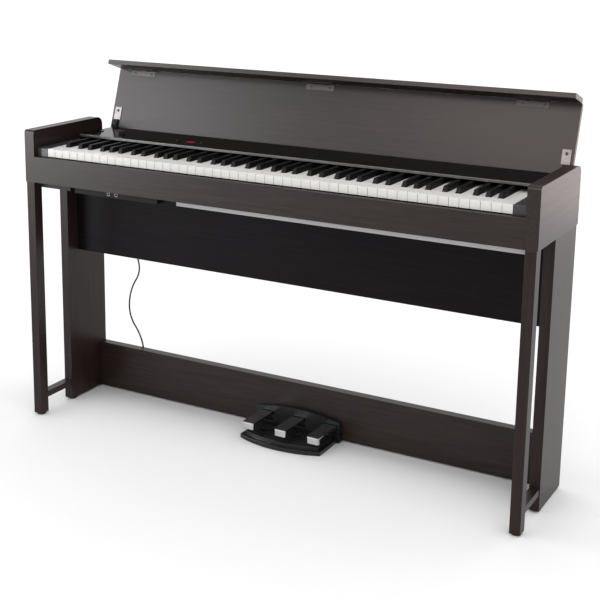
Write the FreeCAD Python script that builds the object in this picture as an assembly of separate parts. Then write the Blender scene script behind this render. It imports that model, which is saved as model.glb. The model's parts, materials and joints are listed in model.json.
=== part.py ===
"""Slim 88-key digital piano on its own stand, lid open.

Millimetres, +X to the treble side, +Y to the back, +Z up.  The shapes are drawn
with Y = 0 at the front faces of the arms and moved to the middle of the
footprint when they are saved.
"""
import FreeCAD
import Part
import math
import os

Vec = FreeCAD.Vector
X_AXIS = Vec(1, 0, 0)

# Overall cabinet
WIDTH = 1346.0
ARM_DEPTH = 288.0
ARM_TOP = 770.0
ARM_BOTTOM = 635.0
ARM_THICK = 29.3
ARM_CORNER_R = 20.0
ARM_NOSE_R = 8.0
ORIGIN_Y = 192.8
FIT = 0.08

# Stand
LEG_INSET = 2.4
LEG_THICK = 25.0
FRONT_LEG_DEPTH = 29.5
REAR_LEG_Y = 131.0
LEG_BOTTOM = 4.0
FOOT_RAIL_Z = (43.0, 59.0)
FOOT_RAIL_THICK = 22.0
GLIDE_R = 11.0
REAR_GLIDE_INSET = 18.0
BOARD_THICK = 15.0
MODESTY_Y = 171.0
MODESTY_BOTTOM = 421.5
STRETCHER_Y = (261.0, 286.0)
STRETCHER_Z = (4.0, 132.0)
SCREW_FROM_BOARD = 28.0
SCREW_FROM_EDGE = 14.0
SCREW_HEAD_R = 3.2
SCREW_HEAD_HIGH = 1.5

# Case between the arms
BED_Z = (621.0, 635.0)
BED_Y = (20.0, 284.0)
BED_NOTCH_X = (-545.0, -222.0)
EDGE_STRIP_THICK = 1.5
FRONT_RAIL_THICK = 14.0
FRONT_RAIL_TOP = 702.0
REAR_PANEL_Y = (274.0, 288.0)
CHEEK_GAP = 0.5

# Headphone socket box
JACK_BOX_X = (-530.0, -278.0)
JACK_BOX_Y = (18.5, 76.0)
JACK_BOX_BOTTOM = 618.0
JACK_X = (-423.0, -400.0)
JACK_Z = 627.0
JACK_BORE_R = 3.2
JACK_BARREL_R = 4.0
JACK_BARREL_LONG = 20.0
JACK_COLLAR_R = 4.8
JACK_COLLAR_LONG = 1.8

# Control panel
PANEL_HALF = 611.5
PANEL_TOP = 744.0
PANEL_SKIN = 3.0
PANEL_FRONT_Y = 149.0
LIP_BOTTOM = 737.5
LIP_THICK = 4.0
LUG_Y = (190.0, 220.0)
LUG_LONG = 22.0
SKIRT_THICK = 3.0
TRIM_THICK = 2.0
DISPLAY_X = (-318.0, -280.0)
DISPLAY_Y = (186.0, 205.0)
DISPLAY_DEEP = 0.8
POWER_AT = (-588.0, 214.0)
VOLUME_AT = (-524.0, 214.0)
SELECT_AT = ((-335.0, 195.5), (-263.0, 195.5))
BUTTON_R = 4.5
BUTTON_GAP = 0.3
BUTTON_PROUD = 2.0
KNOB_R = 8.5
KNOB_HIGH = 8.0
KNOB_SHAFT_R = 3.0

# Keyboard
OCTAVE_WHITES = ("c", "d", "e", "f", "g", "a", "b")
BLACK_NAMES = {"c": "c_sharp", "d": "d_sharp", "f": "f_sharp", "g": "g_sharp", "a": "a_sharp"}
BLACK_AFTER = {"c": -3.5, "d": 3.5, "f": -4.5, "g": 0.0, "a": 4.5}
WHITE_COUNT = 52
FIRST_WHITE = 5
WHITE_PITCH = 23.5
WHITE_GAP = 0.9
KEY_FRONT_Y = 15.0
KEY_REAR_Y = 232.0
KEY_TOP = 723.6
KEY_THICK = 20.0
KEY_BOTTOM = KEY_TOP - KEY_THICK
BLACK_FRONT_Y = 60.0
BLACK_BASE = 12.5
BLACK_CROWN = 9.4
BLACK_RISE = 12.0
BLACK_SLOPE = 5.0
BLACK_SIDE_GAP = 1.0
PIVOT_KEY_Y = 221.0
PIVOT_KEY_Z = 708.5
GROOVE_HALF = 5.5
FRAME_BASE_THICK = 15.0
RIDGE_HALF = 3.0
STOP_Y = (26.0, 40.0)
FELT_TOP = 694.2
FELT_THICK = 4.0

# Lid, drawn closed and turned to its open rest
LID_HALF = 642.0
LID_UNDER = 757.0
LID_THICK = 12.0
LID_REAR_Y = 287.0
PANEL_LENGTH = 210.0
FLAP_LENGTH = 60.0
FLAP_GAP = 0.4
SEAM_CLEAR = 0.03
LID_EDGE_R = 1.0
LID_PIVOT = (275.0, 717.0)
LID_OPEN = 108.0
FLAP_FOLD = 90.0

# Flap hinges
HINGE_X = (-562.0, -20.0, 530.0)
HINGE_LONG = 78.0
HINGE_LEAF = 1.2
HINGE_REACH = 17.0
HINGE_PIN_R = 1.2
HINGE_SCREW_X = 26.0
HINGE_SCREW_Y = 10.5
HINGE_SCREW_R = 3.0
HINGE_SCREW_HIGH = 0.6
KNUCKLES = 5
KNUCKLE_R = 3.0
KNUCKLE_ROOM = 0.2
KNUCKLE_SIDE_GAP = 0.15

# Lid pivots at both ends
HOUSING_FRONT_Y = 234.0
HOUSING_TOP = 692.0
EAR_THICK = 5.5
EAR_X = (617.0, 634.0)
EAR_R = 12.5
PIN_R = 3.0
BRACKET_MID_X = 628.2
BRACKET_ARM_HALF = 5.2
BRACKET_EYE_R = 9.0
BRACKET_HALF = 9.0
BRACKET_Y = (219.5, 282.0)
BRACKET_FOOT = 5.0
PLATE_Y = (184.0, 219.0)
PLATE_THICK = 1.6
PLATE_MID_X = 624.5
PLATE_HALF = 10.5
LID_SCREWS = ((PLATE_MID_X, 194.0, PLATE_THICK), (BRACKET_MID_X, 231.0, BRACKET_FOOT))
LID_SCREW_R = 3.6
LID_SCREW_HIGH = 1.6
STUD_Y = 230.0
STUD_Z = 730.0
STUD_R = 4.0
STUD_LONG = 6.0

# Pedal unit
PEDAL_MID_X = 0.0
PEDAL_SPACING = 92.0
PEDAL_WIDTH = 34.0
PEDAL_TIP_Y = 142.0
PEDAL_TIP_R = 8.0
PEDAL_HUB_R = 6.5
AXLE_Y = 253.5
AXLE_Z = 40.0
AXLE_R = 3.0
AXLE_INSET = 3.0
BASE_HALF = 114.0
BASE_STEP = 9.0
BASE_RISE = (10.0, 18.0)
BASE_NOSE_Y = 126.0
BASE_CORNER_Y = 151.0
COVER_MID_X = -4.0
COVER_HALF = 121.0
COVER_FRONT_Y = 246.0
COVER_END_Z = 54.0
COVER_MID_Z = 68.0
SLOT_HALF = 18.0
SLOT_Z = (22.0, 47.8)

# Pedal cable, centre line outside the fittings
CABLE_R = 2.2
CABLE_Y = 293.0
CABLE_POINTS = (
    (-78.0, CABLE_Y, 60.0),
    (-150.0, 295.0, 50.0),
    (-226.0, 300.0, 2.4),
    (-325.0, 304.0, 2.4),
    (-424.0, 298.0, 2.4),
    (-500.0, CABLE_Y, 24.0),
    (-514.0, CABLE_Y, 92.0),
    (-524.0, CABLE_Y, 158.0),
    (-568.0, CABLE_Y, 214.0),
    (-562.0, CABLE_Y, 290.0),
    (-521.0, CABLE_Y, 352.0),
    (-548.0, 289.0, 420.0),
    (-545.0, 268.0, 495.0),
    (-545.0, 268.0, 570.0),
)
BEND_SHARE = 0.45
SLEEVE_PLAY = 0.4
GLAND_X = -58.0
GLAND_BORE_R = 5.0
GLAND_NECK_R = 4.9
GLAND_TAPER = (14.0, 4.4)
PLUG_R = 4.6
PLUG_TAPER_LONG = 20.0
PLUG_PIN_R = 3.2
PLUG_PIN_LONG = 9.0

ARM_INNER = WIDTH / 2 - ARM_THICK
LEG_OUTER = WIDTH / 2 - LEG_INSET
LEG_INNER = LEG_OUTER - LEG_THICK
PANEL_UNDER = PANEL_TOP - PANEL_SKIN
FLAP_PIN = (LID_REAR_Y - PANEL_LENGTH - FLAP_GAP / 2, LID_UNDER + FLAP_GAP / 2 - SEAM_CLEAR)


def block(x0, x1, y0, y1, z0, z1):
    """Axis-aligned box between the given limits."""
    return Part.makeBox(x1 - x0, y1 - y0, z1 - z0, Vec(x0, y0, z0))


def side_prism(points, x0, x1):
    """Closed outline of (Y, Z) corners pulled along X."""
    corners = [Vec(x0, y, z) for y, z in points]
    face = Part.Face(Part.makePolygon(corners + corners[:1]))
    return face.extrude(Vec(x1 - x0, 0, 0))


def front_prism(points, y0, y1):
    """Closed outline of (X, Z) corners pulled along Y."""
    corners = [Vec(x, y0, z) for x, z in points]
    face = Part.Face(Part.makePolygon(corners + corners[:1]))
    return face.extrude(Vec(0, y1 - y0, 0))


def rod_x(y, z, radius, x0, x1):
    """Round bar along X."""
    return Part.makeCylinder(radius, x1 - x0, Vec(x0, y, z), X_AXIS)


def rod_y(x, z, radius, y0, y1):
    """Round bar along Y."""
    return Part.makeCylinder(radius, y1 - y0, Vec(x, y0, z), Vec(0, 1, 0))


def rod_z(x, y, radius, z0, z1):
    """Round bar along Z."""
    return Part.makeCylinder(radius, z1 - z0, Vec(x, y, z0))


def mirrored(shape):
    """The same shape on the bass side."""
    return shape.mirror(Vec(0, 0, 0), X_AXIS)


def both_sides(shape):
    """A shape and its mirror image, kept as separate solids."""
    return Part.makeCompound([shape, mirrored(shape)])


def joined(first, *others):
    """One solid from touching shapes, without inner seams."""
    return first.fuse(list(others)).removeSplitter()


def upper_corner(x, y, z, radius, towards_back):
    """Arc of an arm's outline between its top and its front or back edge."""
    side = 1 if towards_back else -1
    centre_y, centre_z = y - side * radius, z - radius
    bend = radius * math.sin(math.pi / 4)
    mid = Vec(x, centre_y + side * bend, centre_z + bend)
    return Part.Arc(Vec(x, centre_y, z), mid, Vec(x, y, centre_z))


def arm():
    """Side board of the case, treble side, with rounded upper corners."""
    x, back, top = ARM_INNER, ARM_DEPTH, ARM_TOP
    edges = [
        Part.LineSegment(Vec(x, 0, ARM_BOTTOM), Vec(x, 0, top - ARM_NOSE_R)),
        upper_corner(x, 0, top, ARM_NOSE_R, False),
        Part.LineSegment(Vec(x, ARM_NOSE_R, top), Vec(x, back - ARM_CORNER_R, top)),
        upper_corner(x, back, top, ARM_CORNER_R, True),
        Part.LineSegment(Vec(x, back, top - ARM_CORNER_R), Vec(x, back, ARM_BOTTOM)),
        Part.LineSegment(Vec(x, back, ARM_BOTTOM), Vec(x, 0, ARM_BOTTOM)),
    ]
    outline = Part.Wire(Part.__sortEdges__([edge.toShape() for edge in edges]))
    return Part.Face(outline).extrude(Vec(ARM_THICK, 0, 0))


def front_leg():
    """Narrow front post, treble side."""
    return block(LEG_INNER, LEG_OUTER, 0, FRONT_LEG_DEPTH, LEG_BOTTOM, ARM_BOTTOM)


def rear_leg():
    """Wide rear board, treble side."""
    return block(LEG_INNER, LEG_OUTER, REAR_LEG_Y, ARM_DEPTH, LEG_BOTTOM, ARM_BOTTOM)


def foot_rail():
    """Short bar joining the front post to the rear board."""
    inset = (LEG_THICK - FOOT_RAIL_THICK) / 2
    x0 = LEG_INNER + inset
    return block(x0, x0 + FOOT_RAIL_THICK, FRONT_LEG_DEPTH, REAR_LEG_Y, *FOOT_RAIL_Z)


def foot_glides():
    """Plastic glides under both posts and both ends of the rear boards."""
    x = (LEG_INNER + LEG_OUTER) / 2
    places = (FRONT_LEG_DEPTH / 2, REAR_LEG_Y + REAR_GLIDE_INSET, ARM_DEPTH - REAR_GLIDE_INSET)
    glides = [rod_z(side * x, y, GLIDE_R, 0, LEG_BOTTOM) for side in (-1, 1) for y in places]
    return Part.makeCompound(glides)


def modesty_board():
    """Deep panel behind the player's knees."""
    back = MODESTY_Y + BOARD_THICK
    return block(-LEG_INNER, LEG_INNER, MODESTY_Y, back, MODESTY_BOTTOM, BED_Z[0])


def stretcher():
    """Low board between the rear legs, bored for the pedal cable."""
    board = block(-LEG_INNER, LEG_INNER, *STRETCHER_Y, *STRETCHER_Z)
    return board.cut(rod_y(GLAND_X, CABLE_POINTS[0][2], GLAND_BORE_R, *STRETCHER_Y))


def cabinet_screws():
    """Round heads on the inner faces of the rear legs, in front of the stretcher."""
    y = STRETCHER_Y[0] - SCREW_FROM_BOARD
    heights = (STRETCHER_Z[0] + SCREW_FROM_EDGE, STRETCHER_Z[1] - SCREW_FROM_EDGE)
    x0 = LEG_INNER - SCREW_HEAD_HIGH
    heads = [rod_x(y, z, SCREW_HEAD_R, x0, LEG_INNER) for z in heights]
    return Part.makeCompound(heads + [mirrored(head) for head in heads])


def key_bed():
    """Bottom board of the case, notched for the jack box and bored for the cable plug."""
    board = block(-LEG_INNER, LEG_INNER, *BED_Y, *BED_Z)
    notch = block(*BED_NOTCH_X, BED_Y[0], JACK_BOX_Y[1] + 2, *BED_Z)
    x, y, _ = CABLE_POINTS[-1]
    socket = rod_z(x, y, PLUG_PIN_R + FIT, BED_Z[0], BED_Z[0] + PLUG_PIN_LONG + 1)
    return board.cut(notch).cut(socket)


def bed_edge_strip():
    """Pale edge band along the front of the bottom board."""
    return block(BED_NOTCH_X[1], LEG_INNER, BED_Y[0] - EDGE_STRIP_THICK, BED_Y[0], *BED_Z)


def jack_box():
    """Moulded box for the two headphone sockets, bored for them."""
    box = block(*JACK_BOX_X, *JACK_BOX_Y, JACK_BOX_BOTTOM, BED_Z[1])
    front = JACK_BOX_Y[0]
    for x in JACK_X:
        box = box.cut(rod_y(x, JACK_Z, JACK_BARREL_R, front, front + JACK_BARREL_LONG + 2))
    return box


def headphone_jacks():
    """Two metal bushings with open bores."""
    jacks = []
    front = JACK_BOX_Y[0]
    face = front - JACK_COLLAR_LONG
    for x in JACK_X:
        collar = rod_y(x, JACK_Z, JACK_COLLAR_R, face, front)
        barrel = rod_y(x, JACK_Z, JACK_BARREL_R - FIT, front, front + JACK_BARREL_LONG)
        bore = rod_y(x, JACK_Z, JACK_BORE_R, face, front + JACK_BARREL_LONG - 2)
        jacks.append(joined(collar, barrel).cut(bore))
    return Part.makeCompound(jacks)


def front_rail():
    """Long rail under the key fronts."""
    return block(-ARM_INNER, ARM_INNER, 0, FRONT_RAIL_THICK, ARM_BOTTOM, FRONT_RAIL_TOP)


def rear_panel():
    """Upright back board of the case."""
    return block(-PANEL_HALF, PANEL_HALF, *REAR_PANEL_Y, BED_Z[1], PANEL_UNDER)


def cheek_blocks():
    """Solid blocks filling the case beside the end keys."""
    x0 = PANEL_HALF + CHEEK_GAP
    cheek = block(x0, ARM_INNER, KEY_FRONT_Y, HOUSING_FRONT_Y, BED_Z[1], KEY_TOP)
    return both_sides(cheek)


def hinge_housings():
    """Fixed lid-hinge forks standing on the bottom board at both ends."""
    y, z = LID_PIVOT
    x0 = PANEL_HALF + CHEEK_GAP
    base = block(x0, ARM_INNER, HOUSING_FRONT_Y, BED_Y[1], BED_Z[1], HOUSING_TOP)
    ears = []
    for x0 in EAR_X:
        x1 = x0 + EAR_THICK
        web = block(x0, x1, y - EAR_R, y + EAR_R, HOUSING_TOP, z)
        ears.append(joined(web, rod_x(y, z, EAR_R, x0, x1)))
    fork = joined(base, *ears).cut(rod_x(y, z, PIN_R, EAR_X[0], EAR_X[1] + EAR_THICK))
    return both_sides(fork)


def hinge_pins():
    """Steel pins held in the fixed forks."""
    y, z = LID_PIVOT
    return both_sides(rod_x(y, z, PIN_R, EAR_X[0], EAR_X[1] + EAR_THICK))


def panel_end(side):
    """End skirt of the control panel with a lug that rests on the cheek block."""
    skirt_bottom = KEY_TOP + 2.0
    outer = side * PANEL_HALF
    inner = side * (PANEL_HALF - SKIRT_THICK)
    foot = side * (PANEL_HALF + LUG_LONG)
    skirt = block(*sorted((outer, inner)), PANEL_FRONT_Y, REAR_PANEL_Y[0], skirt_bottom, PANEL_UNDER)
    lug = block(*sorted((outer, foot)), *LUG_Y, KEY_TOP, skirt_bottom + 1)
    return [skirt, lug]


def control_panel():
    """Thin moulded top with a front lip, end skirts and holes for the controls."""
    skin = block(-PANEL_HALF, PANEL_HALF, PANEL_FRONT_Y, ARM_DEPTH, PANEL_UNDER, PANEL_TOP)
    lip_back = PANEL_FRONT_Y + LIP_THICK
    lip = block(-PANEL_HALF, PANEL_HALF, PANEL_FRONT_Y, lip_back, LIP_BOTTOM, PANEL_UNDER)
    body = joined(skin, lip, *panel_end(-1), *panel_end(1))
    for x, y in (POWER_AT,) + SELECT_AT:
        body = body.cut(rod_z(x, y, BUTTON_R + BUTTON_GAP, PANEL_UNDER, PANEL_TOP))
    body = body.cut(rod_z(*VOLUME_AT, KNOB_SHAFT_R + FIT, PANEL_UNDER, PANEL_TOP))
    recess = block(*DISPLAY_X, *DISPLAY_Y, PANEL_TOP - DISPLAY_DEEP, PANEL_TOP)
    return body.cut(recess)


def panel_trim():
    """Pale strip along the front edge of the control panel."""
    front = PANEL_FRONT_Y - TRIM_THICK
    return block(-PANEL_HALF, PANEL_HALF, front, PANEL_FRONT_Y, LIP_BOTTOM, PANEL_TOP - 0.4)


def display_window():
    """Flat cover of the number display."""
    gap = 0.1
    x0, x1 = DISPLAY_X
    y0, y1 = DISPLAY_Y
    return block(x0 + gap, x1 - gap, y0 + gap, y1 - gap, PANEL_TOP - DISPLAY_DEEP, PANEL_TOP + 0.2)


def push_button(at):
    """Round button with a flange that keeps it under the skin."""
    under = PANEL_UNDER - 0.1
    cap = rod_z(*at, BUTTON_R, under, PANEL_TOP + BUTTON_PROUD)
    flange = rod_z(*at, BUTTON_R + 2.0, under - 1.0, under)
    return joined(cap, flange)


def volume_knob():
    """Turned knob with a shaft through the skin and a pointer groove."""
    x, y = VOLUME_AT
    foot, top = PANEL_TOP + 0.4, PANEL_TOP + KNOB_HIGH
    cap = rod_z(x, y, KNOB_R, foot, top)
    shaft = rod_z(x, y, KNOB_SHAFT_R, PANEL_UNDER - 3, foot)
    groove = block(x - 0.6, x + 0.6, y - KNOB_R - 0.5, y - 3, top - 0.8, top)
    return joined(cap, shaft).cut(groove)


def white_name(index):
    """Note name of the white key counted from the bass end."""
    return OCTAVE_WHITES[(index + FIRST_WHITE) % len(OCTAVE_WHITES)]


def white_left(index):
    """X of the bass-side limit of a white key's share of the keyboard."""
    return (index - WHITE_COUNT / 2) * WHITE_PITCH


def black_centre(index):
    """X of the black key after white key index, or None where there is none."""
    name = white_name(index)
    if name not in BLACK_AFTER or index < 0 or index >= WHITE_COUNT - 1:
        return None
    return white_left(index + 1) + BLACK_AFTER[name]


def key_groove(x0, x1):
    """Notch under a key that sits over the pivot ridge."""
    y, peak = PIVOT_KEY_Y, PIVOT_KEY_Z + 0.1
    outline = [(y - GROOVE_HALF, KEY_BOTTOM), (y, peak), (y + GROOVE_HALF, KEY_BOTTOM)]
    return side_prism(outline, x0, x1)


def white_key(index):
    """White key: full-width head and a tail that passes between the black keys."""
    left = white_left(index) + WHITE_GAP / 2
    right = white_left(index + 1) - WHITE_GAP / 2
    key = block(left, right, KEY_FRONT_Y, KEY_REAR_Y, KEY_BOTTOM, KEY_TOP)
    reach = BLACK_BASE / 2 + BLACK_SIDE_GAP
    front = BLACK_FRONT_Y - BLACK_SIDE_GAP
    for neighbour in (index - 1, index):
        centre = black_centre(neighbour)
        if centre is not None:
            x0, x1 = centre - reach, centre + reach
            key = key.cut(block(x0, x1, front, KEY_REAR_Y, KEY_BOTTOM, KEY_TOP))
    return key.cut(key_groove(left, right))


def black_key(index):
    """Black key: tapered sides and a sloping front above the white keys."""
    centre = black_centre(index)
    top = KEY_TOP + BLACK_RISE
    foot, crown = BLACK_BASE / 2, BLACK_CROWN / 2
    section = [
        (centre - foot, KEY_BOTTOM),
        (centre + foot, KEY_BOTTOM),
        (centre + foot, KEY_TOP),
        (centre + crown, top),
        (centre - crown, top),
        (centre - foot, KEY_TOP),
    ]
    key = front_prism(section, BLACK_FRONT_Y, KEY_REAR_Y)
    nose = [(BLACK_FRONT_Y, KEY_TOP), (BLACK_FRONT_Y + BLACK_SLOPE, top), (BLACK_FRONT_Y, top)]
    key = key.cut(side_prism(nose, centre - foot, centre + foot))
    return key.cut(key_groove(centre - foot, centre + foot))


def key_sets():
    """All 88 keys, sorted into one group of separate solids per note name."""
    sets = {}
    for index in range(WHITE_COUNT):
        sets.setdefault(white_name(index), []).append(white_key(index))
        if black_centre(index) is not None:
            sets.setdefault(BLACK_NAMES[white_name(index)], []).append(black_key(index))
    return {"keys_" + name: Part.makeCompound(keys) for name, keys in sets.items()}


def key_frame():
    """Chassis under the keys with a front stop rail and the pivot ridge."""
    floor, base_top = BED_Z[1], BED_Z[1] + FRAME_BASE_THICK
    y = PIVOT_KEY_Y
    shoulder = KEY_BOTTOM - 0.8
    outline = [
        (STOP_Y[0], floor),
        (y + RIDGE_HALF, floor),
        (y + RIDGE_HALF, shoulder),
        (y, PIVOT_KEY_Z),
        (y - RIDGE_HALF, shoulder),
        (y - RIDGE_HALF, base_top),
        (STOP_Y[1], base_top),
        (STOP_Y[1], FELT_TOP - FELT_THICK),
        (STOP_Y[0], FELT_TOP - FELT_THICK),
    ]
    return side_prism(outline, -PANEL_HALF, PANEL_HALF)


def key_felt():
    """Felt strip the key fronts land on."""
    return block(-PANEL_HALF, PANEL_HALF, *STOP_Y, FELT_TOP - FELT_THICK, FELT_TOP)


def opened(shape):
    """Turn a part drawn with the lid closed to the open rest."""
    shape.rotate(Vec(0, *LID_PIVOT), X_AXIS, -LID_OPEN)
    return shape


def folded(shape):
    """Fold a part of the flap, drawn closed, and open it with the lid."""
    shape.rotate(Vec(0, *FLAP_PIN), X_AXIS, FLAP_FOLD)
    return opened(shape)


def mortised(board):
    """A lid board with room for the knuckles of the flap hinges in its edge."""
    half = HINGE_LONG / 2 + KNUCKLE_ROOM
    for x in HINGE_X:
        board = board.cut(rod_x(*FLAP_PIN, KNUCKLE_R + KNUCKLE_ROOM, x - half, x + half))
    return board


def lid_board(front, rear, seam):
    """Lid board with rounded edges, except along the seam between panel and flap."""
    board = block(-LID_HALF, LID_HALF, front, rear, LID_UNDER, LID_UNDER + LID_THICK)
    outer = [edge for edge in board.Edges if abs(edge.CenterOfMass.y - seam) > LID_THICK]
    return board.makeFillet(LID_EDGE_R, [edge for edge in outer if edge.BoundBox.XLength > LID_THICK])


def lid_panel():
    """Long board of the lid."""
    front = LID_REAR_Y - PANEL_LENGTH
    return opened(mortised(lid_board(front, LID_REAR_Y, front)))


def lid_flap():
    """Front board of the lid, folded forward when the lid stands open."""
    rear = LID_REAR_Y - PANEL_LENGTH - FLAP_GAP
    return folded(mortised(lid_board(rear - FLAP_LENGTH, rear, rear)))


def leaf(x_mid, towards, first):
    """Hinge leaf under the boards with every second knuckle, starting at first."""
    y, z = FLAP_PIN
    x0 = x_mid - HINGE_LONG / 2
    step = HINGE_LONG / KNUCKLES
    leaf_z = (LID_UNDER - HINGE_LEAF, LID_UNDER)
    y_root = y + towards * (KNUCKLE_R + KNUCKLE_ROOM)
    y_edge = y + towards * HINGE_REACH
    parts = []
    for number in range(first, KNUCKLES, 2):
        a = x0 + number * step + KNUCKLE_SIDE_GAP
        b = x0 + (number + 1) * step - KNUCKLE_SIDE_GAP
        parts.append(rod_x(y, z, KNUCKLE_R, a, b))
        parts.append(block(a, b, *sorted((y, y_root)), *leaf_z))
    plate = block(x0, x0 + HINGE_LONG, *sorted((y_root, y_edge)), *leaf_z)
    body = joined(plate, *parts)
    return body.cut(rod_x(y, z, HINGE_PIN_R + FIT, x0, x0 + HINGE_LONG))


def panel_leaves():
    """Three hinge leaves on the long board."""
    return opened(Part.makeCompound([leaf(x, 1, 0) for x in HINGE_X]))


def flap_leaves():
    """Three hinge leaves on the flap."""
    return folded(Part.makeCompound([leaf(x, -1, 1) for x in HINGE_X]))


def flap_pins():
    """Pins of the three flap hinges."""
    half = HINGE_LONG / 2
    return opened(Part.makeCompound([rod_x(*FLAP_PIN, HINGE_PIN_R, x - half, x + half) for x in HINGE_X]))


def hinge_screws():
    """Heads in the panel leaves, the end plates and the feet of the brackets."""
    heads = []
    leaf_z = LID_UNDER - HINGE_LEAF
    for x_mid in HINGE_X:
        for x in (x_mid - HINGE_SCREW_X, x_mid + HINGE_SCREW_X):
            y = FLAP_PIN[0] + HINGE_SCREW_Y
            heads.append(rod_z(x, y, HINGE_SCREW_R, leaf_z - HINGE_SCREW_HIGH, leaf_z))
    for x, y, thick in LID_SCREWS:
        under = LID_UNDER - thick
        for side in (-1, 1):
            heads.append(rod_z(side * x, y, LID_SCREW_R, under - LID_SCREW_HIGH, under))
    return opened(Part.makeCompound(heads))


def lid_brackets():
    """Moulded arms under the lid ends that turn on the hinge pins."""
    y, z = LID_PIVOT
    x0, x1 = BRACKET_MID_X - BRACKET_ARM_HALF, BRACKET_MID_X + BRACKET_ARM_HALF
    foot_x = (BRACKET_MID_X - BRACKET_HALF, BRACKET_MID_X + BRACKET_HALF)
    foot_under = LID_UNDER - BRACKET_FOOT
    foot = block(*foot_x, *BRACKET_Y, foot_under, LID_UNDER)
    web = [(y - 8, z), (y + 8, z), (y + 7, foot_under), (y - 24, foot_under)]
    bracket = joined(side_prism(web, x0, x1), foot, rod_x(y, z, BRACKET_EYE_R, x0, x1))
    bracket = bracket.cut(rod_x(y, z, PIN_R + FIT, x0, x1))
    return opened(both_sides(bracket))


def lid_plates():
    """Steel plates screwed under the lid ends in front of the brackets."""
    x = (PLATE_MID_X - PLATE_HALF, PLATE_MID_X + PLATE_HALF)
    return opened(both_sides(block(*x, *PLATE_Y, LID_UNDER - PLATE_THICK, LID_UNDER)))


def arm_studs():
    """Round studs on the inner faces of the arms, beside the lid hinges."""
    return both_sides(rod_x(STUD_Y, STUD_Z, STUD_R, ARM_INNER - STUD_LONG, ARM_INNER))


def bowed_plate(half, corner_y, nose_y, z0, z1):
    """Plate in front of the pedal cover with a bowed front edge."""
    x = COVER_MID_X
    back = COVER_FRONT_Y
    left, right = Vec(x - half, corner_y, z0), Vec(x + half, corner_y, z0)
    left_back, right_back = Vec(x - half, back, z0), Vec(x + half, back, z0)
    edges = [
        Part.LineSegment(left_back, left),
        Part.Arc(left, Vec(x, nose_y, z0), right),
        Part.LineSegment(right, right_back),
        Part.LineSegment(right_back, left_back),
    ]
    outline = Part.Wire([edge.toShape() for edge in edges])
    return Part.Face(outline).extrude(Vec(0, 0, z1 - z0))


def pedal_base():
    """Floor plate of the pedal unit in two bowed steps."""
    lower_top, upper_top = BASE_RISE
    corner, nose = BASE_CORNER_Y + BASE_STEP, BASE_NOSE_Y + BASE_STEP + 4
    lower = bowed_plate(BASE_HALF, BASE_CORNER_Y, BASE_NOSE_Y, 0, lower_top)
    upper = bowed_plate(BASE_HALF - BASE_STEP, corner, nose, lower_top, upper_top)
    return joined(lower, upper)


def pedal_centres():
    """X of the three pedals from bass to treble."""
    return [PEDAL_MID_X + n * PEDAL_SPACING for n in (-1, 0, 1)]


def pedal_cover():
    """Arched plate on the stretcher with a slot for each pedal."""
    x, y0, y1 = COVER_MID_X, COVER_FRONT_Y, STRETCHER_Y[0]
    x0, x1 = x - COVER_HALF, x + COVER_HALF
    left, right = Vec(x0, y0, COVER_END_Z), Vec(x1, y0, COVER_END_Z)
    left_foot, right_foot = Vec(x0, y0, 0), Vec(x1, y0, 0)
    edges = [
        Part.LineSegment(left_foot, left),
        Part.Arc(left, Vec(x, y0, COVER_MID_Z), right),
        Part.LineSegment(right, right_foot),
        Part.LineSegment(right_foot, left_foot),
    ]
    outline = Part.Wire([edge.toShape() for edge in edges])
    cover = Part.Face(outline).extrude(Vec(0, y1 - y0, 0))
    for centre in pedal_centres():
        cover = cover.cut(block(centre - SLOT_HALF, centre + SLOT_HALF, y0, y1, *SLOT_Z))
    return cover.cut(rod_x(AXLE_Y, AXLE_Z, AXLE_R, *axle_span()))


def axle_span():
    """Bass and treble ends of the pedal axle."""
    reach = COVER_HALF - AXLE_INSET
    return COVER_MID_X - reach, COVER_MID_X + reach


def pedal_axle():
    """Steel axle held in the webs of the cover."""
    return rod_x(AXLE_Y, AXLE_Z, AXLE_R, *axle_span())


def pedal(centre):
    """Plated pedal: a flat bar bent down at its broad rounded tip."""
    tip = PEDAL_TIP_Y
    profile = [
        (AXLE_Y, AXLE_Z + PEDAL_HUB_R),
        (tip + 40, 48.0),
        (tip + 2.5, 48.0),
        (tip + 0.8, 47.3),
        (tip, 45.5),
        (tip, 32.0),
        (tip + 1, 31.0),
        (tip + 8, 31.0),
        (tip + 9, 32.0),
        (tip + 9, 42.0),
        (tip + 12, 44.2),
        (tip + 40, 44.2),
        (AXLE_Y, AXLE_Z - 2.0),
    ]
    half = PEDAL_WIDTH / 2
    plan = block(centre - half, centre + half, tip, AXLE_Y + PEDAL_HUB_R, 0, 2 * AXLE_Z)
    plan = plan.makeFillet(PEDAL_TIP_R, [edge for edge in plan.Edges if is_tip_corner(edge, tip)])
    plate = side_prism(profile, centre - half, centre + half).common(plan)
    hub = rod_x(AXLE_Y, AXLE_Z, PEDAL_HUB_R, centre - half, centre + half)
    bore = rod_x(AXLE_Y, AXLE_Z, AXLE_R + FIT, centre - half, centre + half)
    return joined(plate, hub).cut(bore)


def is_tip_corner(edge, tip):
    """True for the upright outer edges at the front face of a pedal."""
    box = edge.BoundBox
    upright = box.XLength < 0.01 and box.YLength < 0.01
    return upright and abs(box.YMin - tip) < 0.01


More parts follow.
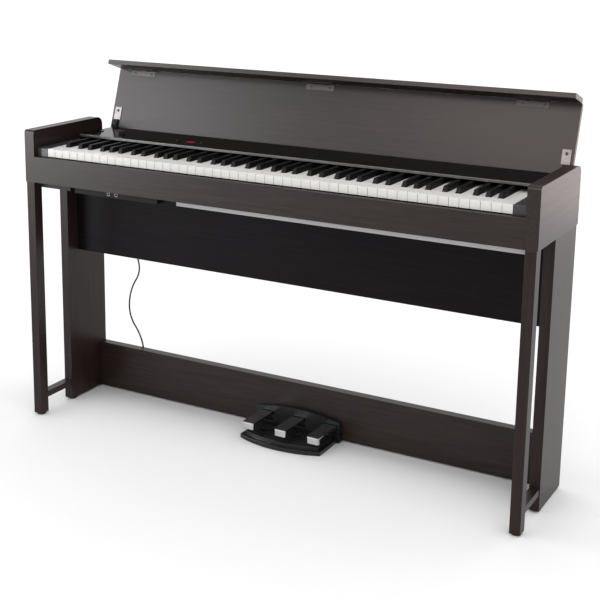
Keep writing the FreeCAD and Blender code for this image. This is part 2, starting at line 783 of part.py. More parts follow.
def cable():
    """Pedal cable: straight runs joined by tangent arcs."""
    points = [Vec(*point) for point in CABLE_POINTS]
    edges = []
    start = points[0]
    for before, corner, after in zip(points, points[1:], points[2:]):
        to_before, to_after = (before - corner), (after - corner)
        cut = BEND_SHARE * min(to_before.Length, to_after.Length)
        to_before.normalize()
        to_after.normalize()
        half_turn = (math.pi - to_before.getAngle(to_after)) / 2
        radius = cut / math.tan(half_turn)
        middle = to_before + to_after
        middle.normalize()
        bend_in, bend_out = corner + to_before * cut, corner + to_after * cut
        bend_mid = corner + middle * (radius / math.cos(half_turn) - radius)
        edges.append(Part.LineSegment(start, bend_in).toShape())
        edges.append(Part.Arc(bend_in, bend_mid, bend_out).toShape())
        start = bend_out
    edges.append(Part.LineSegment(start, points[-1]).toShape())
    ring = Part.Wire(Part.makeCircle(CABLE_R, points[0], points[1] - points[0]))
    return Part.Wire(edges).makePipeShell([ring], True, False)


def cable_gland():
    """Strain relief behind the stretcher, tapered towards the cable."""
    place, following = Vec(*CABLE_POINTS[0]), Vec(*CABLE_POINTS[1])
    back = STRETCHER_Y[1]
    z = place.z
    along = place - following
    along.normalize()
    taper_long, taper_r = GLAND_TAPER
    root = place + along * taper_long
    taper = Part.makeCone(CABLE_R + SLEEVE_PLAY, taper_r, taper_long, place, along)
    body = block(root.x - 0.5, GLAND_X + 7, back, back + 14, z - 7, z + 8)
    neck = rod_y(GLAND_X, z, GLAND_NECK_R, back - 12, back)
    return joined(body, taper, neck)


def cable_plug():
    """Moulded plug under the bottom board with its pin in the socket."""
    x, y, z = CABLE_POINTS[-1]
    bed = BED_Z[0]
    sleeve_r = CABLE_R + SLEEVE_PLAY
    taper = Part.makeCone(sleeve_r, PLUG_R - 0.6, PLUG_TAPER_LONG, Vec(x, y, z))
    body = rod_z(x, y, PLUG_R, z + PLUG_TAPER_LONG, bed)
    pin = rod_z(x, y, PLUG_PIN_R, bed, bed + PLUG_PIN_LONG)
    return joined(taper, body, pin)


def all_parts():
    """Every part by file name."""
    parts = {
        "right_arm": arm(),
        "left_arm": mirrored(arm()),
        "right_front_leg": front_leg(),
        "left_front_leg": mirrored(front_leg()),
        "right_rear_leg": rear_leg(),
        "left_rear_leg": mirrored(rear_leg()),
        "right_foot_rail": foot_rail(),
        "left_foot_rail": mirrored(foot_rail()),
        "foot_glides": foot_glides(),
        "modesty_board": modesty_board(),
        "stretcher": stretcher(),
        "cabinet_screws": cabinet_screws(),
        "key_bed": key_bed(),
        "bed_edge_strip": bed_edge_strip(),
        "jack_box": jack_box(),
        "headphone_jacks": headphone_jacks(),
        "front_rail": front_rail(),
        "rear_panel": rear_panel(),
        "cheek_blocks": cheek_blocks(),
        "hinge_housings": hinge_housings(),
        "hinge_pins": hinge_pins(),
        "control_panel": control_panel(),
        "panel_trim": panel_trim(),
        "display_window": display_window(),
        "power_button": push_button(POWER_AT),
        "sound_button": push_button(SELECT_AT[0]),
        "function_button": push_button(SELECT_AT[1]),
        "volume_knob": volume_knob(),
        "key_frame": key_frame(),
        "key_felt": key_felt(),
        "lid_panel": lid_panel(),
        "lid_flap": lid_flap(),
        "panel_leaves": panel_leaves(),
        "flap_leaves": flap_leaves(),
        "flap_pins": flap_pins(),
        "hinge_screws": hinge_screws(),
        "lid_brackets": lid_brackets(),
        "lid_plates": lid_plates(),
        "arm_studs": arm_studs(),
        "pedal_base": pedal_base(),
        "pedal_cover": pedal_cover(),
        "pedal_axle": pedal_axle(),
        "pedal_cable": cable(),
        "cable_gland": cable_gland(),
        "cable_plug": cable_plug(),
    }
    for name, centre in zip(("pedal_soft", "pedal_sostenuto", "pedal_damper"), pedal_centres()):
        parts[name] = pedal(centre)
    parts.update(key_sets())
    return parts


def save(parts):
    """Write one STEP file per part, centred on the footprint."""
    os.makedirs("parts", exist_ok=True)
    for name, shape in parts.items():
        moved = shape.copy()
        moved.translate(Vec(0, -ORIGIN_Y, 0))
        moved.exportStep("parts/" + name + ".step")
        print(name, len(moved.Solids), moved.isValid())


save(all_parts())
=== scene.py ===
"""Looks, light and camera for the slim digital piano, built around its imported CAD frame."""

import json
import math

import bmesh
import bpy
from mathutils import Matrix, Vector


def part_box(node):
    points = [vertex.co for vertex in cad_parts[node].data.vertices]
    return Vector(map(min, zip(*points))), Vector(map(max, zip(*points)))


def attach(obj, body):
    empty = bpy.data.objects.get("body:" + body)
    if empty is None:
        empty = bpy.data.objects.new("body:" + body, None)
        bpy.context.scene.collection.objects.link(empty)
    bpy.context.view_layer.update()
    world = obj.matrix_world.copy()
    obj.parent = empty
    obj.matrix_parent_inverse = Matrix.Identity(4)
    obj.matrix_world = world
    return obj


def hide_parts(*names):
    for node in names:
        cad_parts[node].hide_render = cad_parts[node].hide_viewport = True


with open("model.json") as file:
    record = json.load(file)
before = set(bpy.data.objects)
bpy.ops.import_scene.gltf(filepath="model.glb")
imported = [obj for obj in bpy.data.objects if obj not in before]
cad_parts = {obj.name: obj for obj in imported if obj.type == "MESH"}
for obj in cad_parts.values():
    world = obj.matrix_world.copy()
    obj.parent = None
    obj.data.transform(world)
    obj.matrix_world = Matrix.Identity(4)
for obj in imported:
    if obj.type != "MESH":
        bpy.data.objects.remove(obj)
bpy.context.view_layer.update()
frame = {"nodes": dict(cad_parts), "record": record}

SLOT_OF = {part["node"]: part["material_slot"] for part in frame["record"]["subparts"]}

# Camera
CAMERA_AT = (1.389, -2.5821, 1.2719)
CAMERA_YAW = 30.183
CAMERA_PITCH = -12.711
CAMERA_ROLL = 0.417
LENS = 73.93
SHIFT = (0.08, -0.155)

# Pedal cable
CABLE_RADIUS = 0.0022
CABLE_ROUTE = (
    (-0.078, 0.1002, 0.060),
    (-0.150, 0.1022, 0.050),
    (-0.226, 0.1072, 0.0024),
    (-0.325, 0.1112, 0.0024),
    (-0.424, 0.1052, 0.0024),
    (-0.500, 0.1002, 0.024),
    (-0.514, 0.1002, 0.092),
    (-0.524, 0.1002, 0.158),
    (-0.568, 0.1002, 0.214),
    (-0.562, 0.1002, 0.290),
    (-0.521, 0.1002, 0.352),
    (-0.548, 0.0962, 0.420),
    (-0.545, 0.0752, 0.495),
    (-0.545, 0.0752, 0.570),
)

# Cable sleeves: thin and thick radius, length and number of ribs
GLAND_RADII = (0.0026, 0.0044)
GLAND_LENGTH = 0.014
GLAND_RIBS = 5
PLUG_RADII = (0.0026, 0.0040)
PLUG_LENGTH = 0.020
PLUG_RIBS = 7
RIB_PROUD = 0.0005
RIB_HALF = 0.0009
RIB_SUNK = 0.0003

# Lid, at rest in its open position
LID_OPEN = math.radians(108)
LID_FACE = Vector((0, -math.sin(LID_OPEN), -math.cos(LID_OPEN)))

# Finishes: the laminate's tones, and the nodes whose finish is not their slot's
WOOD_TONES = ((0.016, 0.0098, 0.0088), (0.022, 0.0132, 0.0118), (0.031, 0.0185, 0.0165))
# Modesty board laminate: a darker, more matt board, made darker still by painted shade from the key bed
# above it
PAINTED_SHADE_TONES = ((0.0044, 0.0029, 0.0040), (0.0062, 0.0040, 0.0055), (0.0088, 0.0060, 0.0078))
BOARD_TONES = ((0.008, 0.0065, 0.007), (0.012, 0.0095, 0.010), (0.017, 0.014, 0.015))

UPRIGHT_GRAIN = ("right_front_leg", "left_front_leg", "right_rear_leg", "left_rear_leg")
DEPTH_GRAIN = ("right_arm", "left_arm", "right_foot_rail", "left_foot_rail")
OWN_FINISH = {"modesty_board": "wood_painted_shade", "cheek_blocks": "cheek_gloss", "hinge_pins": "hinge_steel"}

# Rounding of the edges by slot, and on the lid boards
EDGE_WIDTH = {
    "cabinet_wood": 0.0009,
    "bed_board": 0.0005,
    "edge_band": 0.0002,
    "black_plastic": 0.0004,
    "button_black": 0.0005,
    "panel_black": 0.0004,
    "trim_strip": 0.0004,
    "key_white": 0.0005,
    "key_black": 0.0009,
    "bright_steel": 0.0002,
    "hinge_steel": 0.0002,
    "dark_steel": 0.0003,
    "pedal_chrome": 0.0010,
    "pedal_black": 0.0010,
    "cable_rubber": 0.0004,
}
LID_BOARDS = ("lid_panel", "lid_flap")
LID_EDGE_WIDTH = 0.00012

# Screw heads: profile and cross recess as shares of the radius and height
DOME = ((1.0, 0.0), (1.0, 0.30), (0.96, 0.52), (0.86, 0.72), (0.70, 0.87), (0.48, 0.97), (0.22, 1.0))
CROSS_LONG = 0.62
CROSS_HALF = 0.12
CROSS_FLOOR = 0.35
CROSS_TOP = 1.3

# Number display: generic digits in seven-segment style
DIGITS = "120"
SEGMENTS = {"0": "abcdef", "1": "bc", "2": "abdeg"}
DIGIT_WIDE = 0.0056
DIGIT_HIGH = 0.0100
DIGIT_PITCH = 0.0088
DIGIT_THICK = 0.0002
STROKE = 0.0010
STROKE_GAP = 0.00005

# Fluted grip of the volume knob
GRIP_TEETH = 40
GRIP_PROUD = 0.00035
GRIP_DROP = 0.0066
GRIP_TOP_DROP = 0.0014
TOOTH = ((0.0, 0.0), (0.25, GRIP_PROUD), (0.5, GRIP_PROUD), (0.75, 0.0))

# Mesh
ROUND_STEPS = 32
WELD = 0.00001
SHARP_ANGLE = math.radians(32)

# Studio: each softbox is (name, place, target, size, radiance, colour)
SOFTBOXES = (
    ("left_softbox", (-3.1, -2.5, 1.35), (-0.6, 0, 0.8), (1.8, 2.7), 11.0, (0.96, 0.98, 1.0)),
    ("front_softbox", (-0.2, -2.4, 2.25), (0.5, 0, 0.85), (1.5, 1.0), 7.0, (1.0, 0.90, 0.87)),
    ("right_softbox", (1.7, 2.7, 0.6), (0.67, 0, 0.7), (1.4, 1.1), 1.85, (1.0, 0.83, 0.81)),
)
SURROUNDINGS = 1.05
OVERHEAD = 0.45
OVERHEAD_ANGLE = math.radians(120)
FLOOR_HALF = 60.0


# ---------------------------------------------------------------- camera and cable

def make_camera():
    """The camera, in front of the treble end and a little above the keys."""
    data = bpy.data.cameras.new("camera")
    data.lens = LENS
    data.sensor_width = 36
    data.shift_x, data.shift_y = SHIFT
    data.clip_start = 0.05
    camera = bpy.data.objects.new("camera", data)
    bpy.context.scene.collection.objects.link(camera)
    turn = Matrix.Rotation(math.radians(CAMERA_YAW), 4, "Z")
    tilt = Matrix.Rotation(math.radians(90 + CAMERA_PITCH), 4, "X")
    roll = Matrix.Rotation(math.radians(CAMERA_ROLL), 4, "Z")
    camera.matrix_world = Matrix.Translation(CAMERA_AT) @ turn @ tilt @ roll
    bpy.context.scene.camera = camera


def make_cable():
    """The pedal cable, one smooth spline through its loose curves."""
    curve = bpy.data.curves.new("pedal_cord", "CURVE")
    curve.dimensions = "3D"
    spline = curve.splines.new("NURBS")
    spline.points.add(len(CABLE_ROUTE) - 1)
    for point, place in zip(spline.points, CABLE_ROUTE):
        point.co = (*place, 1)
        point.radius = CABLE_RADIUS
    spline.order_u = 3
    spline.use_endpoint_u = True
    curve.resolution_u = 24
    curve.bevel_depth = 1.0
    curve.bevel_resolution = 4
    curve.use_fill_caps = True
    cable = bpy.data.objects.new("pedal_cord", curve)
    bpy.context.scene.collection.objects.link(cable)
    return cable


# ---------------------------------------------------------------- materials

class Finish:
    """A material being built: its node tree and its shader."""

    def __init__(self, name, **sockets):
        self.material = bpy.data.materials.new(name)
        self.material.use_nodes = True
        self.tree = self.material.node_tree
        self.shader = self.tree.nodes["Principled BSDF"]
        for socket, value in sockets.items():
            self.shader.inputs[socket.replace("_", " ")].default_value = value

    def node(self, kind, **settings):
        """A new node with its properties set."""
        made = self.tree.nodes.new(kind)
        for name, value in settings.items():
            setattr(made, name, value)
        return made

    def link(self, source, target):
        """Join an output to an input."""
        self.tree.links.new(source, target)

    def place(self, stretch=(1, 1, 1)):
        """Object coordinates, scaled per axis."""
        coordinates = self.node("ShaderNodeTexCoord")
        mapping = self.node("ShaderNodeMapping")
        mapping.inputs["Scale"].default_value = stretch
        self.link(coordinates.outputs["Object"], mapping.inputs["Vector"])
        return mapping.outputs["Vector"]

    def noise(self, vector, scale, detail=4.0, roughness=0.55, distortion=0.0):
        """Noise, from 0 to 1, about 0.5."""
        noise = self.node("ShaderNodeTexNoise")
        noise.inputs["Scale"].default_value = scale
        noise.inputs["Detail"].default_value = detail
        noise.inputs["Roughness"].default_value = roughness
        noise.inputs["Distortion"].default_value = distortion
        self.link(vector, noise.inputs["Vector"])
        return noise.outputs["Fac"]

    def ramp(self, source, *stops):
        """Colours along a value; each stop is (position, colour)."""
        ramp = self.node("ShaderNodeValToRGB")
        elements = ramp.color_ramp.elements
        while len(elements) < len(stops):
            elements.new(0.5)
        for element, (position, colour) in zip(elements, stops):
            element.position = position
            element.color = (*colour, 1)
        self.link(source, ramp.inputs["Fac"])
        return ramp.outputs["Color"]

    def spread(self, source, low, high, start=0.3, end=0.7):
        """A value that goes from low to high as source goes from start to end."""
        spread = self.node("ShaderNodeMapRange")
        spread.inputs["From Min"].default_value = start
        spread.inputs["From Max"].default_value = end
        spread.inputs["To Min"].default_value = low
        spread.inputs["To Max"].default_value = high
        self.link(source, spread.inputs["Value"])
        return spread.outputs["Result"]

    def multiply(self, first, second):
        """The product of two colours."""
        product = self.node("ShaderNodeMix", data_type="RGBA", blend_type="MULTIPLY")
        factor, colour_a, colour_b = product.inputs[0], product.inputs[6], product.inputs[7]
        factor.default_value = 1.0
        self.link(first, colour_a)
        self.link(second, colour_b)
        return product.outputs[2]

    def bump(self, height, strength, distance):
        """Relief from a height, linked to the shader."""
        bump = self.node("ShaderNodeBump")
        bump.inputs["Strength"].default_value = strength
        bump.inputs["Distance"].default_value = distance
        self.link(height, bump.inputs["Height"])
        self.link(bump.outputs["Normal"], self.shader.inputs["Normal"])

    def set(self, socket, source):
        """Drive a shader socket."""
        self.link(source, self.shader.inputs[socket])


def laminate(name, along, tones, ior=1.32, roughness=0.30):
    """Printed wood-grain film with its grain along one axis."""
    finish = Finish(name, IOR=ior)
    dark, mid, light = tones
    slow = [0.04 if axis == along else 1 for axis in "XYZ"]
    broad = [0.25 if axis == along else 1 for axis in "XYZ"]
    grain = finish.noise(finish.place(slow), 420, 3, 0.6)
    streaks = finish.noise(finish.place(slow), 130, 5, 0.6, 0.3)
    cloud = finish.noise(finish.place(broad), 9, 3)
    colour = finish.ramp(streaks, (0.32, dark), (0.52, mid), (0.72, light))
    pores = finish.ramp(grain, (0.34, (0.70, 0.70, 0.70)), (0.46, (1, 1, 1)))
    tone = finish.ramp(cloud, (0.3, (0.93, 0.93, 0.94)), (0.7, (1.0, 1.0, 1.0)))
    finish.set("Base Color", finish.multiply(finish.multiply(colour, pores), tone))
    finish.set("Roughness", finish.spread(streaks, roughness + 0.01, roughness + 0.06))
    finish.bump(grain, 0.07, 0.0002)
    return finish.material


def moulded(name, colour, roughness, grain_scale=900, relief=0.12, tint=1.35, ior=1.38):
    """Moulded plastic: a fine grain with slight changes of tone and sheen."""
    finish = Finish(name, IOR=ior)
    vector = finish.place()
    cloud = finish.noise(vector, 14, 3)
    grain = finish.noise(vector, grain_scale, 2)
    lighter = tuple(min(1.0, channel * tint) for channel in colour)
    finish.set("Base Color", finish.ramp(cloud, (0.3, colour), (0.75, lighter)))
    finish.set("Roughness", finish.spread(cloud, roughness, roughness + 0.1))
    finish.bump(grain, relief, 0.0002)
    return finish.material


def gloss_black():
    """Polished panel with a trace of dust and wiping marks in its sheen."""
    finish = Finish("gloss_black", IOR=1.15)
    wipes = finish.noise(finish.place((1, 6, 1)), 9, 5, 0.6, 0.6)
    dust = finish.noise(finish.place(), 1500, 1)
    tones = ((0.3, (0.0024, 0.0021, 0.0021)), (0.8, (0.0055, 0.0048, 0.0048)))
    finish.set("Base Color", finish.ramp(dust, *tones))
    finish.set("Roughness", finish.spread(wipes, 0.07, 0.13))
    finish.bump(wipes, 0.02, 0.0005)
    return finish.material


def key_white():
    """White key plastic, slightly warm, with a faint tooth on its top."""
    finish = Finish("key_white_plastic", IOR=1.45)
    cloud = finish.noise(finish.place(), 9, 2)
    tooth = finish.noise(finish.place((1, 0.2, 1)), 1600, 2)
    tones = ((0.3, (0.755, 0.737, 0.705)), (0.7, (0.775, 0.757, 0.725)))
    finish.set("Base Color", finish.ramp(cloud, *tones))
    finish.set("Roughness", finish.spread(cloud, 0.24, 0.30))
    finish.bump(tooth, 0.02, 0.0001)
    return finish.material


def key_black():
    """Matt black key plastic with a lengthwise tooth."""
    finish = Finish("key_black_plastic", IOR=1.2)
    tooth = finish.noise(finish.place((1, 0.08, 1)), 1800, 3)
    cloud = finish.noise(finish.place(), 40, 2)
    tones = ((0.3, (0.0016, 0.0015, 0.0015)), (0.7, (0.0045, 0.0041, 0.0039)))
    finish.set("Base Color", finish.ramp(tooth, *tones))
    finish.set("Roughness", finish.spread(cloud, 0.38, 0.52))
    finish.bump(tooth, 0.2, 0.0002)
    return finish.material


def metal(name, colour, roughness, stretch=(1, 1, 1), scale=300, relief=0.05, dulling=0.14):
    """Metal with brushing along one direction and slight tarnish."""
    finish = Finish(name, Metallic=1.0)
    brushed = finish.noise(finish.place(stretch), scale, 4, 0.6)
    cloud = finish.noise(finish.place(), 25, 4)
    darker = tuple(channel * 0.82 for channel in colour)
    finish.set("Base Color", finish.ramp(cloud, (0.3, darker), (0.65, colour)))
    finish.set("Roughness", finish.spread(brushed, roughness, roughness + dulling))
    finish.bump(brushed, relief, 0.0002)
    return finish.material


def felt():
    """Red felt with a matted pile."""
    finish = Finish("felt_red", Sheen_Weight=0.6, Sheen_Roughness=0.5)
    pile = finish.noise(finish.place(), 1100, 4, 0.7, 1.0)
    tones = ((0.3, (0.16, 0.008, 0.010)), (0.7, (0.34, 0.025, 0.028)))
    finish.set("Base Color", finish.ramp(pile, *tones))
    finish.set("Roughness", finish.spread(pile, 0.86, 1.0))
    finish.bump(pile, 0.6, 0.0006)
    return finish.material


def smoked_window():
    """Dark red cover of the number display."""
    finish = Finish("smoked_window", IOR=1.4)
    cloud = finish.noise(finish.place(), 60, 3)
    tones = ((0.3, (0.012, 0.001, 0.001)), (0.7, (0.022, 0.002, 0.002)))
    finish.set("Base Color", finish.ramp(cloud, *tones))
    finish.set("Roughness", finish.spread(cloud, 0.10, 0.18))
    finish.bump(cloud, 0.02, 0.0002)
    return finish.material


def lit_segment():
    """Glowing red segments of the number display."""
    finish = Finish("lit_segment", Emission_Strength=0.6)
    cloud = finish.noise(finish.place(), 900, 2)
    finish.set("Base Color", finish.ramp(cloud, (0.3, (0.20, 0.004, 0.02)), (0.7, (0.30, 0.01, 0.03))))
    finish.set("Emission Color", finish.ramp(cloud, (0.3, (0.60, 0.01, 0.06)), (0.7, (0.85, 0.02, 0.09))))
    finish.set("Roughness", finish.spread(cloud, 0.25, 0.4))
    return finish.material


def floor_paint():
    """Near-white studio floor with a trace of mottling."""
    finish = Finish("studio_floor", IOR=1.2)
    cloud = finish.noise(finish.place(), 1.2, 4)
    finish.set("Base Color", finish.ramp(cloud, (0.3, (0.945, 0.945, 0.945)), (0.7, (0.96, 0.96, 0.96))))
    finish.set("Roughness", finish.spread(cloud, 0.7, 0.8))
    return finish.material


def all_materials():
    """Every finish by name: the record's slots, and the names that finish_name gives."""
    return {
        "cabinet_wood": laminate("wood_along_x", "X", WOOD_TONES),
        "wood_upright": laminate("wood_along_z", "Z", WOOD_TONES, 1.26),
        "wood_depth": laminate("wood_along_y", "Y", WOOD_TONES),
        # modesty board: darker laminate, partly its own darker board and partly painted shade
        "wood_painted_shade": laminate("wood_modesty_painted_shade", "X", PAINTED_SHADE_TONES, 1.16, 0.42),
        "bed_board": laminate("bed_board", "X", BOARD_TONES, 1.3, 0.45),
        "edge_band": moulded("edge_band", (0.39, 0.38, 0.39), 0.42, 1200, 0.08, 1.1),
        "black_plastic": moulded("black_plastic", (0.006, 0.006, 0.0065), 0.42, ior=1.2),
        "button_black": moulded("button_black", (0.014, 0.014, 0.015), 0.30),
        "panel_black": gloss_black(),
        "display_black": smoked_window(),
        "lit_segment": lit_segment(),
        "trim_strip": metal("trim_strip", (0.16, 0.158, 0.155), 0.30, (0.02, 1, 1), 900, 0.01),
        "key_white": key_white(),
        "key_black": key_black(),
        "felt": felt(),
        "bright_steel": metal("plated_steel", (0.19, 0.178, 0.172), 0.42, (0.1, 1, 1), 800),
        "hinge_steel": metal("hinge_steel", (0.068, 0.060, 0.057), 0.42, (0.1, 1, 1), 800),
        "dark_steel": metal("blackened_steel", (0.045, 0.045, 0.047), 0.30),
        "cheek_gloss": moulded("cheek_gloss", (0.042, 0.042, 0.043), 0.24, 1200, 0.02, 1.06),
        "pedal_chrome": metal("pedal_chrome", (0.60, 0.60, 0.62), 0.07, (1, 0.15, 1), 500, 0.004, 0.05),
        "pedal_black": moulded("pedal_black", (0.009, 0.009, 0.010), 0.24, 1400, 0.06),
        "cable_rubber": moulded("cable_rubber", (0.010, 0.010, 0.010), 0.5, 1500, 0.1),
    }


def finish_name(node):
    """The finish of a CAD node: a grain direction of the laminate, its own, or its slot's."""
    if node in UPRIGHT_GRAIN:
        return "wood_upright"
    if node in DEPTH_GRAIN:
        return "wood_depth"
    return OWN_FINISH.get(node, SLOT_OF[node])


# ---------------------------------------------------------------- CAD nodes

def ease_edges(piece, width):
    """Small rounded edges that catch the light, without touching the mesh itself."""
    weld = piece.modifiers.new("weld", "WELD")
    weld.merge_threshold = WELD
    bevel = piece.modifiers.new("eased", "BEVEL")
    bevel.width = width
    bevel.segments = 2
    bevel.limit_method = "ANGLE"
    bevel.angle_limit = SHARP_ANGLE
    bevel.use_clamp_overlap = True
    smooth = piece.modifiers.new("shading", "WEIGHTED_NORMAL")
    smooth.keep_sharp = True


def dress_nodes(materials):
    """Give every CAD node its finish and eased edges."""
    for name, node in frame["nodes"].items():
        node.data.materials.clear()
        node.data.materials.append(materials[finish_name(name)])
        width = LID_EDGE_WIDTH if name in LID_BOARDS else EDGE_WIDTH.get(SLOT_OF[name])
        if width:
            ease_edges(node, width)


# ---------------------------------------------------------------- small pieces

def new_piece(name, mesh, body, material):
    """A piece of the model: its object, body, slot and finish."""
    piece = bpy.data.objects.new(name, mesh)
    bpy.context.scene.collection.objects.link(piece)
    mesh.materials.clear()
    mesh.materials.append(material)
    for face in mesh.polygons:
        face.use_smooth = True
    mesh.set_sharp_from_angle(angle=SHARP_ANGLE)
    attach(piece, body)
    return piece


def facing(direction):
    """Rotation that turns +Z to a direction."""
    return Vector(direction).to_track_quat("Z", "Y").to_matrix().to_4x4()


def lathe(bm, profile, place):
    """Surface turned about +Z from (radius, height) pairs, then moved by place."""
    rings = []
    for radius, height in profile:
        ring = []
        for step in range(ROUND_STEPS):
            angle = math.tau * step / ROUND_STEPS
            spot = Vector((radius * math.cos(angle), radius * math.sin(angle), height))
            ring.append(bm.verts.new(place @ spot))
        rings.append(ring)
    for lower, upper in zip(rings, rings[1:]):
        for step in range(ROUND_STEPS):
            following = (step + 1) % ROUND_STEPS
            bm.faces.new((lower[step], lower[following], upper[following], upper[step]))
    bm.faces.new(reversed(rings[0]))
    bm.faces.new(rings[-1])


def prism(bm, outline, z0, z1, place):
    """Flat outline of (x, y) corners raised from z0 to z1, then moved by place."""
    lower = [bm.verts.new(place @ Vector((x, y, z0))) for x, y in outline]
    upper = [bm.verts.new(place @ Vector((x, y, z1))) for x, y in outline]
    count = len(outline)
    for corner in range(count):
        following = (corner + 1) % count
        bm.faces.new((lower[corner], lower[following], upper[following], upper[corner]))
    bm.faces.new(reversed(lower))
    bm.faces.new(upper)


def finished_mesh(name, bm):
    """Mesh from a bmesh, with its normals outwards."""
    bmesh.ops.recalc_face_normals(bm, faces=bm.faces)
    mesh = bpy.data.meshes.new(name)
    bm.to_mesh(mesh)
    bm.free()
    return mesh


def islands(mesh):
    """The separate solids of a mesh, each as its corner points."""
    bm = bmesh.new()
    bm.from_mesh(mesh)
    bmesh.ops.remove_doubles(bm, verts=bm.verts, dist=WELD)
    left = set(bm.verts)
    found = []
    while left:
        group = []
        queue = [left.pop()]
        while queue:
            vert = queue.pop()
            group.append(vert.co.copy())
            for edge in vert.link_edges:
                other = edge.other_vert(vert)
                if other in left:
                    left.remove(other)
                    queue.append(other)
        found.append(group)
    bm.free()
    return found


def cross_outline(reach, half):
    """Outline of a plus sign."""
    arm = [(half, half), (half, reach), (-half, reach)]
    corners = []
    for quarter in range(4):
        turn = Matrix.Rotation(math.radians(90 * quarter), 2)
        corners += [tuple(turn @ Vector(corner)) for corner in arm]
    return corners


def screw_heads(name, node, body, outward, material):
    """Domed heads with a cross recess in place of the plain heads of a CAD node."""
    solid, recess = bmesh.new(), bmesh.new()
    for points in islands(node.data):
        centre = sum(points, Vector()) / len(points)
        out = outward(centre)
        heights = [(point - centre).dot(out) for point in points]
        base = centre + out * min(heights)
        high = max(heights) - min(heights)
        radius = max(((point - base) - out * (point - base).dot(out)).length for point in points)
        place = Matrix.Translation(base) @ facing(out)
        lathe(solid, [(r * radius, z * high) for r, z in DOME], place)
        plus = cross_outline(CROSS_LONG * radius, CROSS_HALF * radius)
        prism(recess, plus, CROSS_FLOOR * high, CROSS_TOP * high, place)
    heads = bpy.data.objects.new(name, finished_mesh(name, solid))
    cutter = bpy.data.objects.new(name + "_recess", finished_mesh(name + "_recess", recess))
    for thing in (heads, cutter):
        bpy.context.scene.collection.objects.link(thing)
    cut = heads.modifiers.new("recess", "BOOLEAN")
    cut.object = cutter
    cut.operation = "DIFFERENCE"
    cut.solver = "EXACT"
    evaluated = heads.evaluated_get(bpy.context.evaluated_depsgraph_get())
    mesh = bpy.data.meshes.new_from_object(evaluated)
    bpy.data.objects.remove(cutter)
    bpy.data.objects.remove(heads)
    piece = new_piece(name, mesh, body, material)
    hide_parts(node.name)


def out_of_lid(_centre):
    """Direction of a screw head on the lid's inner face."""
    return LID_FACE


def out_of_leg(centre):
    """Direction of a screw head inside a rear leg."""
    return Vector((-math.copysign(1, centre.x), 0, 0))


def make_screws(materials):
    """Heads on the lid and inside the rear legs."""
    nodes = frame["nodes"]
    steel = materials["dark_steel"]
    screw_heads("lid_screw_heads", nodes["hinge_screws"], "lid", out_of_lid, steel)
    screw_heads("leg_screw_heads", nodes["cabinet_screws"], "cabinet", out_of_leg, steel)


def segment_spans():
    """Middle, length and turn of every segment of one digit about its centre."""
    x, y = DIGIT_WIDE / 2, DIGIT_HIGH / 2
    flat, upright = 0, math.radians(90)
    return {
        "a": ((0, y), DIGIT_WIDE, flat),
        "b": ((x, y / 2), y, upright),
        "c": ((x, -y / 2), y, upright),
        "d": ((0, -y), DIGIT_WIDE, flat),
        "e": ((-x, -y / 2), y, upright),
        "f": ((-x, y / 2), y, upright),
        "g": ((0, 0), DIGIT_WIDE, flat),
    }


def make_digits(material):
    """Glowing digits just above the window of the display."""
    low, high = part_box("display_window")
    middle = (Vector(low) + Vector(high)) / 2
    bm = bmesh.new()
    for index, digit in enumerate(DIGITS):
        shift = (index - (len(DIGITS) - 1) / 2) * DIGIT_PITCH
        for (x, y), length, turn in (segment_spans()[letter] for letter in SEGMENTS[digit]):
            side = STROKE / 2
            half = length / 2 - side - STROKE_GAP
            tip = half + side
            outline = [(-tip, 0), (-half, -side), (half, -side), (tip, 0), (half, side), (-half, side)]
            place = Matrix.Translation((middle.x + shift + x, middle.y + y, high[2]))
            prism(bm, outline, 0, DIGIT_THICK, place @ Matrix.Rotation(turn, 4, "Z"))
    new_piece("display_digits", finished_mesh("display_digits", bm), "cabinet", material)


def make_ribs(name, start, along, radii, length, count, material):
    """Round ribs on a tapered sleeve, from its thin end at start."""
    bm = bmesh.new()
    thin, thick = radii
    along = Vector(along).normalized()
    for number in range(count):
        share = (number + 0.7) / count
        radius = thin + (thick - thin) * share
        place = Matrix.Translation(Vector(start) + along * length * share) @ facing(along)
        rib = [
            (radius - RIB_SUNK, -RIB_HALF),
            (radius + RIB_PROUD * 0.7, -RIB_HALF * 0.7),
            (radius + RIB_PROUD, 0),
            (radius + RIB_PROUD * 0.7, RIB_HALF * 0.7),
            (radius - RIB_SUNK, RIB_HALF),
        ]
        lathe(bm, rib, place)
    return new_piece(name, finished_mesh(name, bm), "cabinet", material)


def make_knob_grip(material):
    """Fluted grip round the side of the volume knob."""
    low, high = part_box("volume_knob")
    radius = (high[0] - low[0]) / 2
    centre = ((low[0] + high[0]) / 2, (low[1] + high[1]) / 2, 0)
    outline = []
    for tooth in range(GRIP_TEETH):
        for share, reach in TOOTH:
            angle = math.tau * (tooth + share) / GRIP_TEETH
            outline.append(((radius + reach) * math.cos(angle), (radius + reach) * math.sin(angle)))
    bm = bmesh.new()
    prism(bm, outline, high[2] - GRIP_DROP, high[2] - GRIP_TOP_DROP, Matrix.Translation(centre))
    new_piece("knob_grip", finished_mesh("knob_grip", bm), "volume_knob", material)


# ---------------------------------------------------------------- studio

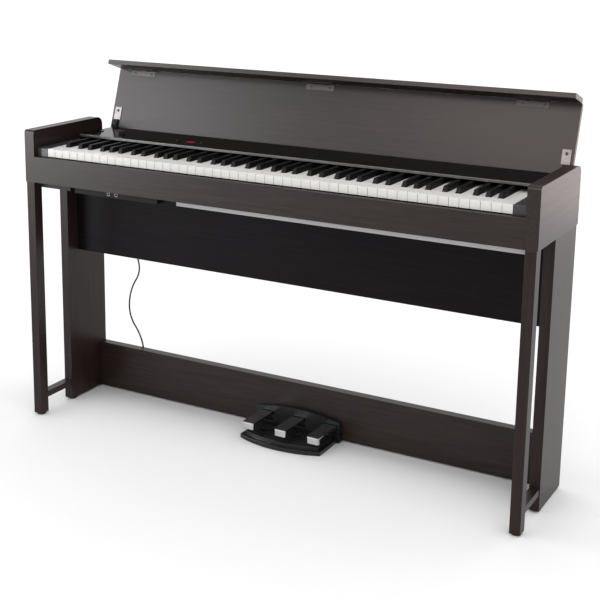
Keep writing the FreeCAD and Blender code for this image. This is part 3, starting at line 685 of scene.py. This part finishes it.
def softbox(name, place, target, size, radiance, colour):
    """Soft light facing a point, seen only in sheen and reflections, without further bounces."""
    data = bpy.data.lights.new(name, "AREA")
    data.shape = "RECTANGLE"
    data.size, data.size_y = size
    data.energy = radiance * math.pi * size[0] * size[1]
    data.color = colour
    data.cycles.max_bounces = 0
    light = bpy.data.objects.new(name, data)
    bpy.context.scene.collection.objects.link(light)
    light.location = place
    light.rotation_euler = (Vector(target) - Vector(place)).to_track_quat("-Z", "Y").to_euler()
    light.visible_camera = False
    light.visible_diffuse = False


def overhead():
    """Broad even light from above that lifts the floor and the tops."""
    data = bpy.data.lights.new("overhead", "SUN")
    data.energy = OVERHEAD
    data.angle = OVERHEAD_ANGLE
    light = bpy.data.objects.new("overhead", data)
    bpy.context.scene.collection.objects.link(light)
    light.visible_glossy = False


def make_floor(material):
    """Pale floor that reaches past the edge of every view."""
    half = FLOOR_HALF
    corners = [(-half, -half, 0), (half, -half, 0), (half, half, 0), (-half, half, 0)]
    mesh = bpy.data.meshes.new("floor")
    mesh.from_pydata(corners, [], [(0, 1, 2, 3)])
    mesh.materials.append(material)
    floor = bpy.data.objects.new("floor", mesh)
    bpy.context.scene.collection.objects.link(floor)


def make_studio():
    """White surroundings, an overhead light and the softboxes."""
    world = bpy.data.worlds.new("studio")
    bpy.context.scene.world = world
    world.use_nodes = True
    surroundings = world.node_tree.nodes["Background"]
    surroundings.inputs["Color"].default_value = (1, 1, 1, 1)
    surroundings.inputs["Strength"].default_value = SURROUNDINGS
    for box in SOFTBOXES:
        softbox(*box)
    overhead()
    bpy.context.scene.view_settings.view_transform = "Standard"


# ---------------------------------------------------------------- everything

make_camera()
cable = make_cable()
materials = all_materials()
rubber = materials["cable_rubber"]
cable.data.materials.append(rubber)
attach(cable, "cabinet")
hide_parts("pedal_cable")
gland_along = Vector(CABLE_ROUTE[0]) - Vector(CABLE_ROUTE[1])
gland_ribs = make_ribs(
    "gland_ribs", CABLE_ROUTE[0], gland_along, GLAND_RADII, GLAND_LENGTH, GLAND_RIBS, rubber
)
plug_ribs = make_ribs("plug_ribs", CABLE_ROUTE[-1], (0, 0, 1), PLUG_RADII, PLUG_LENGTH, PLUG_RIBS, rubber)
dress_nodes(materials)
make_screws(materials)
make_digits(materials["lit_segment"])
make_knob_grip(materials["button_black"])
make_floor(floor_paint())
make_studio()
